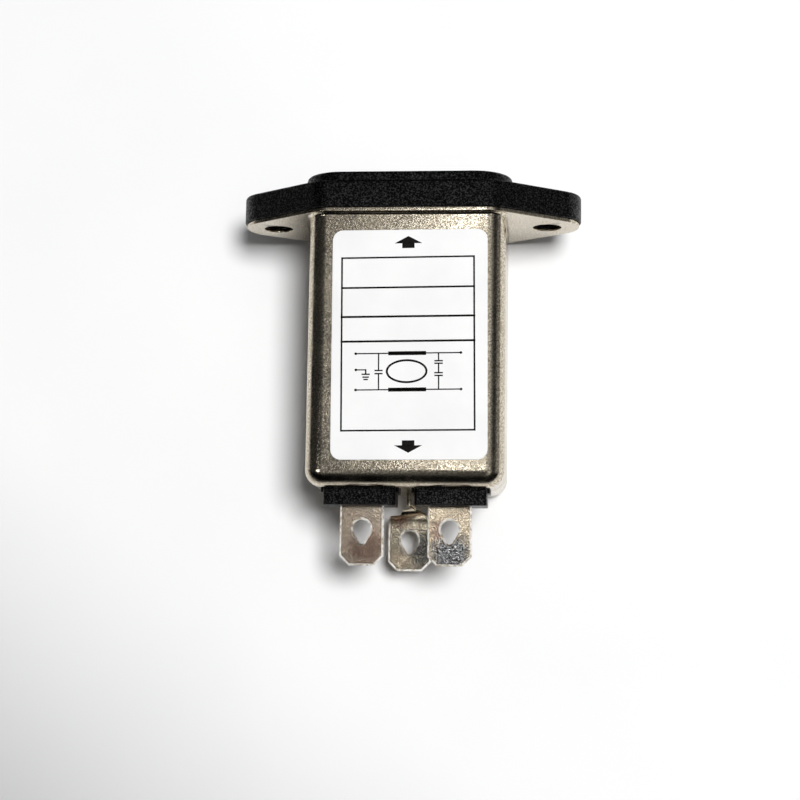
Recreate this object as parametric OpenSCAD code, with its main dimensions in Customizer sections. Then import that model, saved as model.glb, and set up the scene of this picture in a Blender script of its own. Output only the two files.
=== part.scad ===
// Mains inlet with built-in line filter: a socket moulding in a drawn metal case with three tabs.
// Every piece is drawn with z running back from the panel face and y towards the label, then laid down.
// The origin is midway between the two fixing holes, on the ears' face that meets the panel.

/* [Socket] */
// Width of the recess that the mains connector plugs into
recess_w = 24.4; // [22:0.1:28]
// Height of the recess
recess_h = 16.4; // [15:0.1:20]
// Depth of the recess from the front face
recess_depth = 16.8; // [14:0.1:22]
// Corner cut on the earth side of the recess
recess_cut = 5.2; // [3:0.1:6]
// Rounding of the recess's other two corners
recess_r = 1.5; // [0.5:0.1:1.8]
// Wall of the moulding round the recess
housing_wall = 1.25; // [0.9:0.05:2.5]
// Floor of the moulding behind the recess
floor_t = 1.6; // [1:0.1:3]

/* [Socket pins] */
// Thickness of a pin
pin_t = 2; // [1.5:0.1:3]
// Height of a pin
pin_h = 4; // [3:0.1:5]
// Distance between the line and neutral pins
pin_pitch = 14; // [12:0.5:16]
// Distance of the earth pin below the line and neutral pins
earth_pin_drop = 4; // [3:0.5:6]
// How far the line and neutral pins end behind the front face
pin_setback = 4.5; // [3:0.1:8]
// How much longer the earth pin is
earth_lead = 1.5; // [0.5:0.1:3]
// Slope at the tip of a pin
pin_tip = 0.7; // [0.2:0.1:0.9]
// Length of the soldering tail behind the floor
tail_len = 3.2; // [2.5:0.1:5]
// Height of the soldering tail
tail_h = 2.6; // [2:0.1:3]
// Thickness of the soldering tail
tail_t = 0.8; // [0.5:0.1:1.2]
// Eye in each soldering tail
tail_eye_d = 1.3; // [1:0.1:1.6]

/* [Mounting flange] */
// Distance between the two fixing holes
hole_pitch = 40; // [38:0.5:50]
// Radius of the ends of the ears
ear_r = 5; // [4:0.1:7]
// How far the flange stands out from the case
flange_margin = 1.1; // [1:0.05:3]
// Thickness of the moulded flange
flange_t = 3.9; // [3:0.1:6]
// Screw hole in the moulded flange
screw_hole_d = 3.5; // [3:0.1:4]
// Countersink for the screw head on the front
countersink_d = 6.6; // [5:0.1:7.5]
// How far the front boss stands proud of the flange
boss_t = 1.35; // [0.5:0.05:3]
// How much wider than the case the boss is, on each side
boss_side = 0.8; // [0.2:0.1:2]
// How far the boss stays in from the flange's long edges
boss_step = 0.15; // [0.1:0.05:1]
// Rounding of the boss's corners
boss_r = 5.5; // [2:0.1:7]

/* [Metal case] */
// Thickness of the sheet
sheet_t = 0.6; // [0.4:0.05:1]
// Rounding of the case's long edges, outside
case_r = 2.7; // [2:0.1:4]
// Rounding round the rear wall, outside
rear_r = 2.4; // [1.5:0.1:2.7]
// Inside radius of the bend between ears and case
root_r = 0.5; // [0.2:0.05:0.7]
// How far the sheet's edge stays inside the moulded flange
ear_inset = 0.3; // [0.1:0.05:0.5]
// Fixing holes in the metal ears
case_hole_d = 4.2; // [3.5:0.1:5]
// Clearance between the moulding and the case
fit_gap = 0.1; // [0.05:0.05:0.4]

/* [Terminals] */
// Width of the tabs
tab_w = 6.3; // [4.8:0.1:8]
// Thickness of the tabs
tab_t = 0.8; // [0.5:0.1:1]
// How far the line and neutral tabs reach behind the case
tab_reach = 10.9; // [9:0.1:16]
// How far the earth tab reaches behind the case
earth_reach = 11.4; // [9:0.1:16]
// Corner cut at the tip of each tab
tab_cut = 1.35; // [0.5:0.05:2]
// Bevel pressed along a tab's edges
tab_bevel = 0.2; // [0.05:0.05:0.35]
// Round end of the eye in each tab
eye_d = 2.6; // [2:0.1:3.2]
// Rounding at the pointed end of the eye
eye_point_r = 0.45; // [0.15:0.05:0.6]
// Distance between the centres of the eye's two ends
eye_run = 1.7; // [1:0.1:3]
// Distance from the pointed end's centre to the tip of the line and neutral tabs
eye_inset = 3.55; // [2.5:0.05:5]
// The same distance on the earth tab
earth_eye_inset = 2.9; // [2.5:0.05:5]
// Distance between the middles of the line and neutral tabs
tab_pitch = 12.6; // [11.8:0.1:13.4]
// Height of the line and neutral tabs above the case's middle
tab_level = 4; // [2:0.1:5]
// How much lower the earth tab lies
earth_tab_drop = 7.6; // [6:0.1:9]
// Width of the earth tab's neck
neck_w = 3.2; // [2.5:0.1:4]
// Length of straight neck behind the case
neck_run = 1.8; // [0.3:0.1:2.5]
// Length of the quarter turn in the earth tab
twist_len = 1.7; // [1.5:0.1:3]
// Length of the earth tab's foot on the inside of the rear wall
foot_len = 5; // [4:0.1:7]
// Space round what passes through the rear wall
slot_gap = 0.1; // [0.05:0.05:0.3]

/* [Terminal blocks] */
// Width of a terminal block's head
block_w = 10.3; // [9.5:0.1:12]
// Height of the head
block_h = 5.6; // [4.5:0.1:7]
// How far the head stands out behind the case
block_proud = 2.4; // [1.5:0.1:4]
// Space between the two heads
block_gap = 2.7; // [2:0.1:5]
// Rounding of the head's corners
block_r = 0.5; // [0.2:0.1:1]
// How far the collar stands out at each end of the head
collar_out = 0.45; // [0.3:0.05:1]
// Thickness of the collar
collar_t = 0.6; // [0.4:0.1:1]
// How much smaller than the head the shank is, on each side
shank_in = 0.7; // [0.5:0.1:1]
// Length of the shank inside the case
shank_run = 2.6; // [2:0.1:4]
// How far the snap ridges stand out from the shank
ridge_out = 0.4; // [0.2:0.1:0.7]

/* [Filter parts] */
// Outer diameter of the choke's core
core_od = 13.4; // [11:0.1:16]
// Inner diameter of the core
core_id = 7.4; // [6.6:0.1:9]
// Height of the core
core_h = 6; // [4:0.1:8]
// Thickness of the winding wire
winding_d = 0.55; // [0.4:0.05:0.6]
// Turns in each winding
turns = 13; // [8:1:14]
// Arc of the core that each winding covers, in degrees
winding_arc = 146; // [120:1:150]
// Thickness of the divider between the windings
divider_t = 0.8; // [0.4:0.1:0.9]
// Width of the capacitor across the line
xcap_w = 13; // [10:0.5:18]
// Height of that capacitor
xcap_h = 11; // [8:0.5:13]
// Thickness of that capacitor
xcap_t = 5; // [4:0.5:7]
// Distance between its leads
xcap_pitch = 10; // [7.5:0.5:12]
// Diameter of each capacitor to earth
ycap_d = 8; // [6:0.5:9.5]
// Thickness of each capacitor to earth
ycap_t = 3; // [2:0.1:4]
// Distance between its leads
ycap_pitch = 5; // [4:0.5:6]
// Thickness of the capacitors' leads
lead_d = 0.6; // [0.4:0.05:0.8]
// Inside radius to which a lead is bent
lead_bend = 0.3; // [0.2:0.05:0.4]
// How far the leads rise over the part they come from
lead_rise = 1.4; // [1.3:0.1:2]
// Diameter of the insulated earth wire
earth_wire_d = 1.5; // [1:0.1:2]
// Thickness of the insulating sleeve
sleeve_t = 0.25; // [0.1:0.05:0.5]
// Clearance between neighbouring filter parts
part_gap = 0.4; // [0.2:0.1:1]
// Clearance where a wire meets what it is soldered to
solder_gap = 0.05; // [0.02:0.01:0.2]
// Room for wiring between the choke and the earth tab's foot
wiring_room = 1.55; // [1:0.05:12]

/* [Label] */
// Width of the label
label_w = 22.1; // [15:0.1:24]
// Length of the label
label_len = 32.9; // [20:0.1:34]
// Thickness of the label
label_t = 0.12; // [0.05:0.01:0.3]
// Rounding of the label's corners
label_r = 1.5; // [0.5:0.1:4]
// Distance from the ears to the label
label_start = 2.6; // [1:0.1:5]
// Sideways offset of the label
label_shift = 0.65; // [-1:0.05:1]
// Angle by which the label is stuck on askew
label_turn = 0.7; // [-2:0.1:2]

/* [Hidden] */
$fn = 48;

// Moulding and case, from the recess outwards
housing_w = recess_w + 2 * housing_wall;
housing_h = recess_h + 2 * housing_wall;
inner_w = housing_w + 2 * fit_gap;
inner_h = housing_h + 2 * fit_gap;
case_w = inner_w + 2 * sheet_t;
case_h = inner_h + 2 * sheet_t;
flange_h = case_h + 2 * flange_margin;
boss_w = case_w + 2 * boss_side;
boss_h = flange_h - 2 * boss_step;
housing_r = case_r - sheet_t - fit_gap;

// Depths behind the panel face
front = -(sheet_t + flange_t + boss_t);
recess_floor = front + recess_depth;
housing_back = recess_floor + floor_t;
tail_eye = housing_back + tail_len - tail_h / 2;
xcap_front = housing_back + tail_len + part_gap;
winding_out = part_gap / 4 + winding_d;
choke_front = xcap_front + xcap_t + part_gap;
choke_mid = choke_front + winding_out + core_od / 2;
foot_front = choke_mid + core_od / 2 + winding_out + wiring_room;
rear_inside = foot_front + tab_t;
case_depth = rear_inside + sheet_t;

// Shank of a terminal block
shank_w = block_w - 2 * shank_in;
shank_h = block_h - 2 * shank_in;

// Heights above the middle of the case
pin_level = earth_pin_drop / 2;
earth_pin_level = -earth_pin_drop / 2;
earth_tab_level = tab_level - earth_tab_drop;
sleeve_inside = inner_h / 2 - fit_gap - sleeve_t;
xcap_top = -sleeve_inside + part_gap + xcap_h;
choke_top = -sleeve_inside + part_gap + 2 * winding_out + core_h;
choke_level = choke_top - winding_out - core_h / 2;
block_underside = tab_level - shank_h / 2 - ridge_out;
ycap_level = min(sleeve_inside - part_gap - ycap_d / 2,
                 block_underside - lead_d / 2 - part_gap / 4 + ycap_pitch / 2);

// Places across the case
block_x = (block_w + block_gap) / 2;
tab_x = tab_pitch / 2;
ycap_x = earth_wire_d / 2 + part_gap + ycap_t / 2;
ycap_mid = rear_inside - shank_run - tail_len - 1.5 * part_gap - ycap_d / 2;
tab_eye_depth = rear_inside - shank_run - tail_len / 2;

// Lays a piece down: depth runs towards -Y and the label's side faces +Z
module lay() rotate([90, 0, 0]) children();

// Outline that joins circles [x, y, r], listed anticlockwise, by straight lines that touch them
module belt(circles) {
  count = len(circles);
  for (c = circles) translate([c[0], c[1]]) circle(r = c[2]);
  polygon([for (i = [0 : count - 1]) each touch_line(circles[i], circles[(i + 1) % count])]);
}
function touch_line(a, b) =
  let (run = [b[0] - a[0], b[1] - a[1]],
       turn = atan2(run.y, run.x) - 90 + asin((a[2] - b[2]) / norm(run)),
       out = [cos(turn), sin(turn)])
  [[a[0], a[1]] + a[2] * out, [b[0], b[1]] + b[2] * out];

module round_rect(w, h, r) {
  belt([for (s = [[1, 1], [-1, 1], [-1, -1], [1, -1]]) [s.x * (w / 2 - r), s.y * (h / 2 - r), r]]);
}

// Outline of the flange: round ears, and shoulders concentric with the case's corners
module flange_outline(inset) {
  ear = hole_pitch / 2;
  x = case_w / 2 - case_r;
  y = case_h / 2 - case_r;
  r = case_r + flange_margin - inset;
  belt([[ear, 0, ear_r - inset], [x, y, r], [-x, y, r],
        [-ear, 0, ear_r - inset], [-x, -y, r], [x, -y, r]]);
}

// Sweeps a profile round a rounded rectangle; the profile's x is measured from the corners' centres
module sweep_round(w, h, r) {
  x = w / 2 - r;
  y = h / 2 - r;
  for (mx = [0, 1], my = [0, 1])
    mirror([mx, 0, 0]) mirror([0, my, 0]) translate([x, y, 0]) rotate_extrude(angle = 90) children();
  for (m = [0, 1]) {
    mirror([0, m, 0]) translate([-x, y, 0]) rotate([90, 0, 90]) linear_extrude(2 * x) children();
    mirror([m, 0, 0]) translate([x, y, 0]) rotate([90, 0, 0]) linear_extrude(2 * y) children();
  }
}

// Round wire bent through a list of points, with the same inside radius at every bend
module wire(points, d, inside_r) {
  last = len(points) - 1;
  r = inside_r + d / 2;
  runs = [for (i = [0 : last - 1]) points[i + 1] - points[i]];
  ways = [for (run = runs) run / norm(run)];
  half_turns = [for (i = [1 : last - 1]) acos(ways[i - 1] * ways[i]) / 2];
  trims = concat([0], [for (a = half_turns) r * tan(a)], [0]);
  for (i = [0 : last - 1])
    translate(points[i] + trims[i] * ways[i]) rotate([0, acos(ways[i].z), atan2(ways[i].y, ways[i].x)])
      cylinder(h = norm(runs[i]) - trims[i] - trims[i + 1], d = d);
  for (i = [1 : last - 1]) {
    u = ways[i - 1];
    turn = cross(u, ways[i]);
    n = turn / norm(turn);
    e = cross(u, n);
    c = points[i] - trims[i] * u - r * e;
    multmatrix([[e.x, u.x, n.x, c.x], [e.y, u.y, n.y, c.y], [e.z, u.z, n.z, c.z], [0, 0, 0, 1]])
      rotate_extrude(angle = 2 * half_turns[i - 1]) translate([r, 0]) circle(d = d);
  }
}

// Round wire of many short faces through stations, each a point and a direction across the wire
module sweep_wire(stations, d, sides) {
  last = len(stations) - 1;
  rings = [for (i = [0 : last])
    let (ahead = stations[min(i + 1, last)][0] - stations[max(i - 1, 0)][0],
         t = ahead / norm(ahead),
         across = cross(t, stations[i][1]),
         u = across / norm(across),
         v = cross(t, u))
    for (k = [0 : sides - 1])
      stations[i][0] + d / 2 * (cos(360 * k / sides) * u + sin(360 * k / sides) * v)];
  polyhedron(rings, concat(
    [[for (k = [0 : sides - 1]) k]],
    [[for (k = [0 : sides - 1]) last * sides + sides - 1 - k]],
    [for (i = [0 : last - 1], k = [0 : sides - 1])
      let (a = i * sides + k, b = i * sides + (k + 1) % sides)
      [a, a + sides, b + sides, b]]));
}

// Points of a smooth curve through the given ones
function smooth(p, steps = 4) =
  let (n = len(p))
  [for (i = [0 : n - 2], s = [0 : steps - 1])
      let (t = s / steps, a = p[max(i - 1, 0)], b = p[i], c = p[i + 1], d = p[min(i + 2, n - 1)])
      b + t / 2 * (c - a) + t * t * (a - 2.5 * b + 2 * c - 0.5 * d)
        + t * t * t * (1.5 * (b - c) + 0.5 * (d - a)),
   p[n - 1]];

// One drawn piece: ears, wall and rear wall, with slots for the terminals
module case_shell() {
  color("#b9b3a8") lay() difference() {
    union() {
      translate([0, 0, -sheet_t]) linear_extrude(sheet_t) difference() {
        flange_outline(ear_inset);
        round_rect(case_w + 2 * root_r, case_h + 2 * root_r, case_r + root_r);
      }
      sweep_round(case_w, case_h, case_r) case_wall();
      translate([0, 0, rear_inside]) linear_extrude(sheet_t)
        round_rect(case_w - 2 * rear_r, case_h - 2 * rear_r, case_r - rear_r + 0.01);
    }
    for (s = [-1, 1]) {
      translate([s * hole_pitch / 2, 0, -2 * sheet_t]) cylinder(h = 3 * sheet_t, d = case_hole_d);
      translate([s * block_x, tab_level, case_depth])
        cube([shank_w + 2 * slot_gap, shank_h + 2 * slot_gap, 3 * sheet_t], center = true);
    }
    translate([0, earth_tab_level, case_depth])
      cube([tab_t + 2 * slot_gap, neck_w + 2 * slot_gap, 3 * sheet_t], center = true);
  }
}

// Section of the case's sheet: the bend at the ears, the wall, and the bend into the rear wall
module case_wall() {
  translate([case_r + root_r, root_r]) mirror([1, 0]) mirror([0, 1]) bend(root_r);
  translate([case_r - sheet_t, root_r]) square([sheet_t, case_depth - rear_r - root_r]);
  translate([case_r - rear_r, case_depth - rear_r]) bend(rear_r - sheet_t);
}
module bend(inside_r) {
  intersection() {
    difference() {
      circle(r = inside_r + sheet_t);
      circle(r = inside_r);
    }
    square(inside_r + sheet_t);
  }
}

// Moulding: flange, boss and socket body in one piece
module inlet_housing() {
  color("#1c1c1e") lay() difference() {
    union() {
      translate([0, 0, -sheet_t - flange_t]) linear_extrude(flange_t) flange_outline(0);
      translate([0, 0, front]) linear_extrude(boss_t) round_rect(boss_w, boss_h, boss_r);
      translate([0, 0, -sheet_t]) linear_extrude(housing_back + sheet_t)
        round_rect(housing_w, housing_h, housing_r);
    }
    translate([0, 0, front - 1]) linear_extrude(recess_depth + 1) recess_outline();
    for (s = [-1, 1]) {
      translate([s * hole_pitch / 2, 0, -sheet_t - flange_t - 1])
        cylinder(h = flange_t + 2, d = screw_hole_d);
      translate([s * hole_pitch / 2, 0, -sheet_t - flange_t])
        cylinder(h = (countersink_d - screw_hole_d) / 2, d1 = countersink_d, d2 = screw_hole_d);
      translate([s * pin_pitch / 2, pin_level, housing_back])
        cube([pin_t, pin_h, 4 * floor_t], center = true);
    }
    translate([0, earth_pin_level, housing_back]) cube([pin_t, pin_h, 4 * floor_t], center = true);
  }
}
module recess_outline() {
  difference() {
    round_rect(recess_w, recess_h, recess_r);
    for (s = [-1, 1])
      translate([s * recess_w / 2, -recess_h / 2]) rotate(45) square(recess_cut * sqrt(2), center = true);
  }
}

// Flat pin with a sloped tip and a soldering tail
module socket_pin(x, y, setback) {
  start = front + setback;
  color("#c9c4ba") lay() translate([x, y, 0]) {
    intersection() {
      rotate([90, 0, 90]) linear_extrude(pin_t, center = true) pin_outline(pin_h, start);
      rotate([90, 0, 0]) linear_extrude(pin_h, center = true) pin_outline(pin_t, start);
    }
    rotate([90, 0, 90]) linear_extrude(tail_t, center = true) difference() {
      translate([-tail_h / 2, housing_back]) square([tail_h, tail_len]);
      translate([0, tail_eye]) circle(d = tail_eye_d);
    }
  }
}
module pin_outline(w, start) {
  tip = w / 2 - pin_tip;
  polygon([[-tip, start], [tip, start], [w / 2, start + 2 * pin_tip], [w / 2, housing_back],
           [-w / 2, housing_back], [-w / 2, start + 2 * pin_tip]]);
}
module line_pin() socket_pin(-pin_pitch / 2, pin_level, pin_setback);
module neutral_pin() socket_pin(pin_pitch / 2, pin_level, pin_setback);
module earth_pin() socket_pin(0, earth_pin_level, pin_setback - earth_lead);

// Insulator that snaps into the rear wall and carries a tab
module terminal_block(side) {
  color("#202022") lay() translate([side * block_x, tab_level, 0]) difference() {
    union() {
      translate([0, 0, case_depth]) linear_extrude(block_proud) round_rect(block_w, block_h, block_r);
      translate([0, 0, case_depth]) linear_extrude(collar_t)
        round_rect(block_w + 2 * collar_out, block_h - 2 * block_r, block_r);
      translate([-shank_w / 2, -shank_h / 2, rear_inside - shank_run])
        cube([shank_w, shank_h, shank_run + sheet_t]);
      rotate([90, 0, 90]) linear_extrude(shank_w - 2 * shank_in, center = true)
        for (m = [0, 1]) mirror([m, 0]) snap_ridge();
    }
    translate([side * (tab_x - block_x) - tab_w / 2, -tab_t / 2, rear_inside - shank_run - 1])
      cube([tab_w, tab_t, shank_run + sheet_t + block_proud + 2]);
  }
}
module snap_ridge() {
  polygon([[0, rear_inside - shank_run], [shank_h / 2, rear_inside - shank_run],
           [shank_h / 2 + ridge_out, rear_inside - slot_gap], [0, rear_inside - slot_gap]]);
}
module line_terminal_block() terminal_block(-1);
module neutral_terminal_block() terminal_block(1);

// Outline of a tab's blade from start to tip, with its tip corners cut and a drop-shaped eye
module blade_outline(start, tip, inset) {
  w = tab_w / 2;
  difference() {
    polygon([[-w, start], [w, start], [w, tip - tab_cut], [w - tab_cut, tip],
             [tab_cut - w, tip], [-w, tip - tab_cut]]);
    belt([[0, tip - inset, eye_point_r], [0, tip - inset - eye_run, eye_d / 2]]);
  }
}

// Blade with pressed bevels along its edges and tip
module blade(start, tip, inset) {
  h = tab_t / 2;
  b = tab_bevel;
  intersection() {
    rotate([90, 0, 0]) linear_extrude(tab_t, center = true) blade_outline(start, tip, inset);
    linear_extrude(tip) polygon([for (m = [1, -1]) each m * [[tab_w / 2, h - b], [tab_w / 2 - b, h],
                                                             [b - tab_w / 2, h], [-tab_w / 2, h - b]]]);
    rotate([90, 0, 90]) linear_extrude(tab_w, center = true)
      polygon([[h, start], [h, tip - b], [h - b, tip], [b - h, tip], [-h, tip - b], [-h, start]]);
  }
}

module straight_tab(side) {
  inside = rear_inside - shank_run;
  tip = case_depth + tab_reach;
  color("#c4bcae") lay() translate([side * tab_x, tab_level, 0]) {
    blade(inside, tip, eye_inset);
    rotate([90, 0, 0]) linear_extrude(tab_t, center = true) difference() {
      translate([-tab_w / 3, inside - tail_len]) square([2 * tab_w / 3, tail_len]);
      translate([0, tab_eye_depth]) circle(d = tail_eye_d);
    }
  }
}
module line_tab() straight_tab(-1);
module neutral_tab() straight_tab(1);

// Tab with a foot on the rear wall's inside, an edge-on neck through the wall and a quarter turn
module earth_tab() {
  neck_end = case_depth + neck_run;
  turn_end = neck_end + twist_len;
  color("#c4bcae") lay() translate([0, earth_tab_level, 0]) {
    translate([-tab_t / 2, -neck_w / 2, foot_front]) cube([foot_len, neck_w, tab_t]);
    translate([-tab_t / 2, -neck_w / 2, foot_front]) cube([tab_t, neck_w, neck_end - foot_front]);
    twisted_neck(neck_end, turn_end);
    blade(turn_end, case_depth + earth_reach, earth_eye_inset);
  }
}

// Strip that turns from edge-on to flat while it widens to the blade
module twisted_neck(from, to) {
  steps = 12;
  corners = [for (i = [0 : steps])
    let (t = i / steps, turn = 90 * (1 - t), w = neck_w + (tab_w - neck_w) * min(1, 1.6 * t))
    for (c = [[-w, -tab_t], [w, -tab_t], [w, tab_t], [-w, tab_t]])
      [c.x / 2 * cos(turn) - c.y / 2 * sin(turn), c.x / 2 * sin(turn) + c.y / 2 * cos(turn),
       from + (to - from) * t]];
  polyhedron(corners, concat(
    [[0, 1, 2, 3]],
    [[for (k = [3 : -1 : 0]) 4 * steps + k]],
    [for (i = [0 : steps - 1], k = [0 : 3])
      let (a = 4 * i + k, b = 4 * i + (k + 1) % 4)
      each [[a, a + 4, b + 4], [a, b + 4, b]]]));
}

// Ring core with rounded edges
module choke_core() {
  wall = (core_od - core_id) / 2;
  color("#4a4f52") lay() translate([0, choke_level, choke_mid]) rotate([90, 0, 0]) rotate_extrude()
    translate([(core_od + core_id) / 4, 0]) round_rect(wall, core_h, wall / 4);
}

// Station of a winding, by the angle round the core from its front and the angle round its section
function winding_station(around, over) =
  let (wall = (core_od - core_id) / 4, clear = part_gap / 4 + winding_d / 2,
       a = wall + clear, b = core_h / 2 + clear,
       c = cos(over), s = sin(over),
       r = (core_od + core_id) / 4 + a * sign(s) * pow(abs(s), 0.4),
       y = b * sign(c) * pow(abs(c), 0.4))
  [[-r * sin(around), choke_level + y, choke_mid - r * cos(around)], [cos(around), 0, -sin(around)]];

module winding(side) {
  steps = 16;
  first = 90 - winding_arc / 2;
  count = turns * steps;
  coil = [for (i = [0 : count]) winding_station(first + winding_arc * i / count, 360 * i / steps)];
  start = coil[0][0];
  finish = coil[count][0];
  over_cap = xcap_top + winding_d / 2 + part_gap;
  at_pin = [-(pin_pitch + tail_t + winding_d) / 2 - solder_gap, pin_level, housing_back + 0.8 * tail_len];
  at_tab = [tail_eye_d / 2 + winding_d - tab_x, tab_level - (tab_t + winding_d) / 2 - solder_gap,
            tab_eye_depth];
  lead_in = smooth([at_pin, at_pin + [-0.2, 1, 0.4],
                    [at_pin.x + 1.2, over_cap + 0.6, xcap_front + 0.4 * xcap_t],
                    [start.x - 1.6, over_cap + 0.4, choke_front], start + [-0.2, 1.6, -0.3], start]);
  lead_out = smooth([finish, finish + [-0.2, 1.2, 0.4],
                     [(finish.x + at_tab.x) / 2, choke_top + 1.4, tab_eye_depth - 2],
                     at_tab + [0.2, -1, -0.4], at_tab]);
  stations = concat([for (i = [0 : len(lead_in) - 2]) [lead_in[i], coil[0][1]]], coil,
                    [for (i = [1 : len(lead_out) - 1]) [lead_out[i], coil[count][1]]]);
  color("#b5642a") lay() mirror([side > 0 ? 1 : 0, 0, 0]) sweep_wire(stations, winding_d, 6);
}
module line_winding() winding(-1);
module neutral_winding() winding(1);

// Plate across the core's bore that keeps the windings apart
module winding_divider() {
  color("#e8e2cf") lay() translate([0, choke_level, choke_mid])
    cube([divider_t, core_h + 2 * winding_out, core_id - part_gap / 2], center = true);
}

module x_capacitor() {
  color("#e0b81f") lay() translate([0, xcap_top - xcap_h, xcap_front]) rotate([-90, 0, 0])
    translate([0, -xcap_t / 2, 0]) linear_extrude(xcap_h) round_rect(xcap_w, xcap_t, 0.5);
}
module x_capacitor_leads() {
  x = xcap_pitch / 2;
  over = max(xcap_top, pin_level) + lead_rise;
  color("#d0ccc4") lay() for (m = [0, 1]) mirror([m, 0, 0])
    wire([[x, xcap_top + solder_gap, xcap_front + xcap_t / 2], [x, over, xcap_front + xcap_t / 2],
          [x, over, tail_eye], [x, pin_level, tail_eye],
          [(pin_pitch + tail_t) / 2 + lead_d, pin_level, tail_eye]], lead_d, lead_bend);
}

// Disc capacitor standing on its edge, dipped so that its rim is round
module y_capacitor(side) {
  rim = ycap_t / 2;
  color("#2e6fb0") lay() translate([side * ycap_x, ycap_level, ycap_mid]) rotate([0, 90, 0])
  rotate_extrude() {
    translate([0, -rim]) square([ycap_d / 2 - rim, ycap_t]);
    intersection() {
      translate([ycap_d / 2 - rim, 0]) circle(r = rim);
      translate([ycap_d / 2 - rim, -rim]) square([rim, ycap_t]);
    }
  }
}
module y_capacitor_leads(side) {
  x = side * ycap_x;
  high = ycap_level + ycap_pitch / 2;
  low = ycap_level - ycap_pitch / 2;
  // Where a lead leaves the rounded rim, at its own distance from the disc's middle
  start = ycap_mid + sqrt(pow(ycap_d / 2, 2) - pow((ycap_pitch - lead_d) / 2, 2)) + solder_gap;
  foot_level = earth_tab_level + neck_w / 4;
  on_foot = foot_front - lead_d / 2 - solder_gap;
  beside_neck = foot_front + tab_t / 2;
  color("#d0ccc4") lay() {
    wire([[x, high, start], [x, high, tab_eye_depth], [side * tab_x, high, tab_eye_depth],
          [side * tab_x, tab_level - tab_t / 2 - lead_d, tab_eye_depth]], lead_d, lead_bend);
    // The foot reaches only towards the neutral side: the other lead ends beside the neck
    if (side > 0) wire([[x, low, start], [x, low, on_foot], [x, foot_level, on_foot]], lead_d, lead_bend);
    else wire([[x, low, start], [x, low, beside_neck], [x, foot_level, beside_neck],
               [-tab_t / 2 - solder_gap, foot_level, beside_neck]], lead_d, lead_bend);
  }
}
module line_y_capacitor() y_capacitor(-1);
module line_y_capacitor_leads() y_capacitor_leads(-1);
module neutral_y_capacitor() y_capacitor(1);
module neutral_y_capacitor_leads() y_capacitor_leads(1);

// Insulated wire from the earth pin's tail over the parts to the earth tab's neck
module earth_wire() {
  r = earth_wire_d / 2;
  over = max(xcap_top, choke_top) + r + part_gap;
  rear = rear_inside - r - solder_gap;
  color("#5f9a3a") lay()
    wire([[0, earth_pin_level + tail_h / 2 + solder_gap, tail_eye], [0, over, tail_eye], [0, over, rear],
          [0, earth_tab_level + neck_w / 2 + solder_gap, rear]], earth_wire_d, r);
}

module insulating_sleeve() {
  w = inner_w - 2 * fit_gap;
  h = inner_h - 2 * fit_gap;
  start = housing_back + fit_gap;
  finish = case_depth - rear_r;
  color("#d9cfae") lay() translate([0, 0, start]) linear_extrude(finish - start) difference() {
    round_rect(w, h, housing_r);
    round_rect(w - 2 * sleeve_t, h - 2 * sleeve_t, housing_r - sleeve_t);
  }
}

module label() {
  color("#f4f4f2") translate([label_shift, -label_start - label_len / 2, case_h / 2])
    rotate(label_turn) linear_extrude(label_t) round_rect(label_w, label_len, label_r);
}

case_shell();
inlet_housing();
line_pin();
neutral_pin();
earth_pin();
line_terminal_block();
neutral_terminal_block();
line_tab();
neutral_tab();
earth_tab();
choke_core();
line_winding();
neutral_winding();
winding_divider();
x_capacitor();
x_capacitor_leads();
line_y_capacitor();
line_y_capacitor_leads();
neutral_y_capacitor();
neutral_y_capacitor_leads();
earth_wire();
insulating_sleeve();
label();
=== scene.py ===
import math
import bpy
import bmesh
from mathutils import Matrix, Vector


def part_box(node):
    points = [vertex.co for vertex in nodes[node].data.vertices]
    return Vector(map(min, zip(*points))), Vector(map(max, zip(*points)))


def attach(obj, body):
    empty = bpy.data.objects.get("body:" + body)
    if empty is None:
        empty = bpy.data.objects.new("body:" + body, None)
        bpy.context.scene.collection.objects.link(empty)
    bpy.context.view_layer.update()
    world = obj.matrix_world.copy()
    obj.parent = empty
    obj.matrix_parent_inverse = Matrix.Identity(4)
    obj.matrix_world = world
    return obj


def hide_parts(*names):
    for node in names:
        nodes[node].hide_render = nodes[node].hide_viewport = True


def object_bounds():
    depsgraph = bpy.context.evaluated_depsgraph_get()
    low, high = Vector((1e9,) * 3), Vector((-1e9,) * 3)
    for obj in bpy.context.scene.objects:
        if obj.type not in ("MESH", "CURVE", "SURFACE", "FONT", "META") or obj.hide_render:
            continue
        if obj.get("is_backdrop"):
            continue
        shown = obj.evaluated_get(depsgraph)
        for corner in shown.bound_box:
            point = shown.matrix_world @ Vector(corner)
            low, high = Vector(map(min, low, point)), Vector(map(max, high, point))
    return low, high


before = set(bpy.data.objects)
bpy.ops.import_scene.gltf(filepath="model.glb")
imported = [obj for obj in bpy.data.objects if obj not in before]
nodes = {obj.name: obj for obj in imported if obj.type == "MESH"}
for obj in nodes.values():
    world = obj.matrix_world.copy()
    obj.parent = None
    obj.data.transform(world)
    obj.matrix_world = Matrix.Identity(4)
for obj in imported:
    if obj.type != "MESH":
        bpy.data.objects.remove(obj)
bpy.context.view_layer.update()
scene = bpy.context.scene

# ---------------------------------------------------------------------------------------------
# Inlet housing: flange, raised front boss and socket body, injection-moulded in one piece from
# black glass-filled nylon. The tool was spark-eroded, which leaves a fine grain on every face,
# and the ears are countersunk for the screws that hold the filter in its panel.

MM = 0.001


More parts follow.
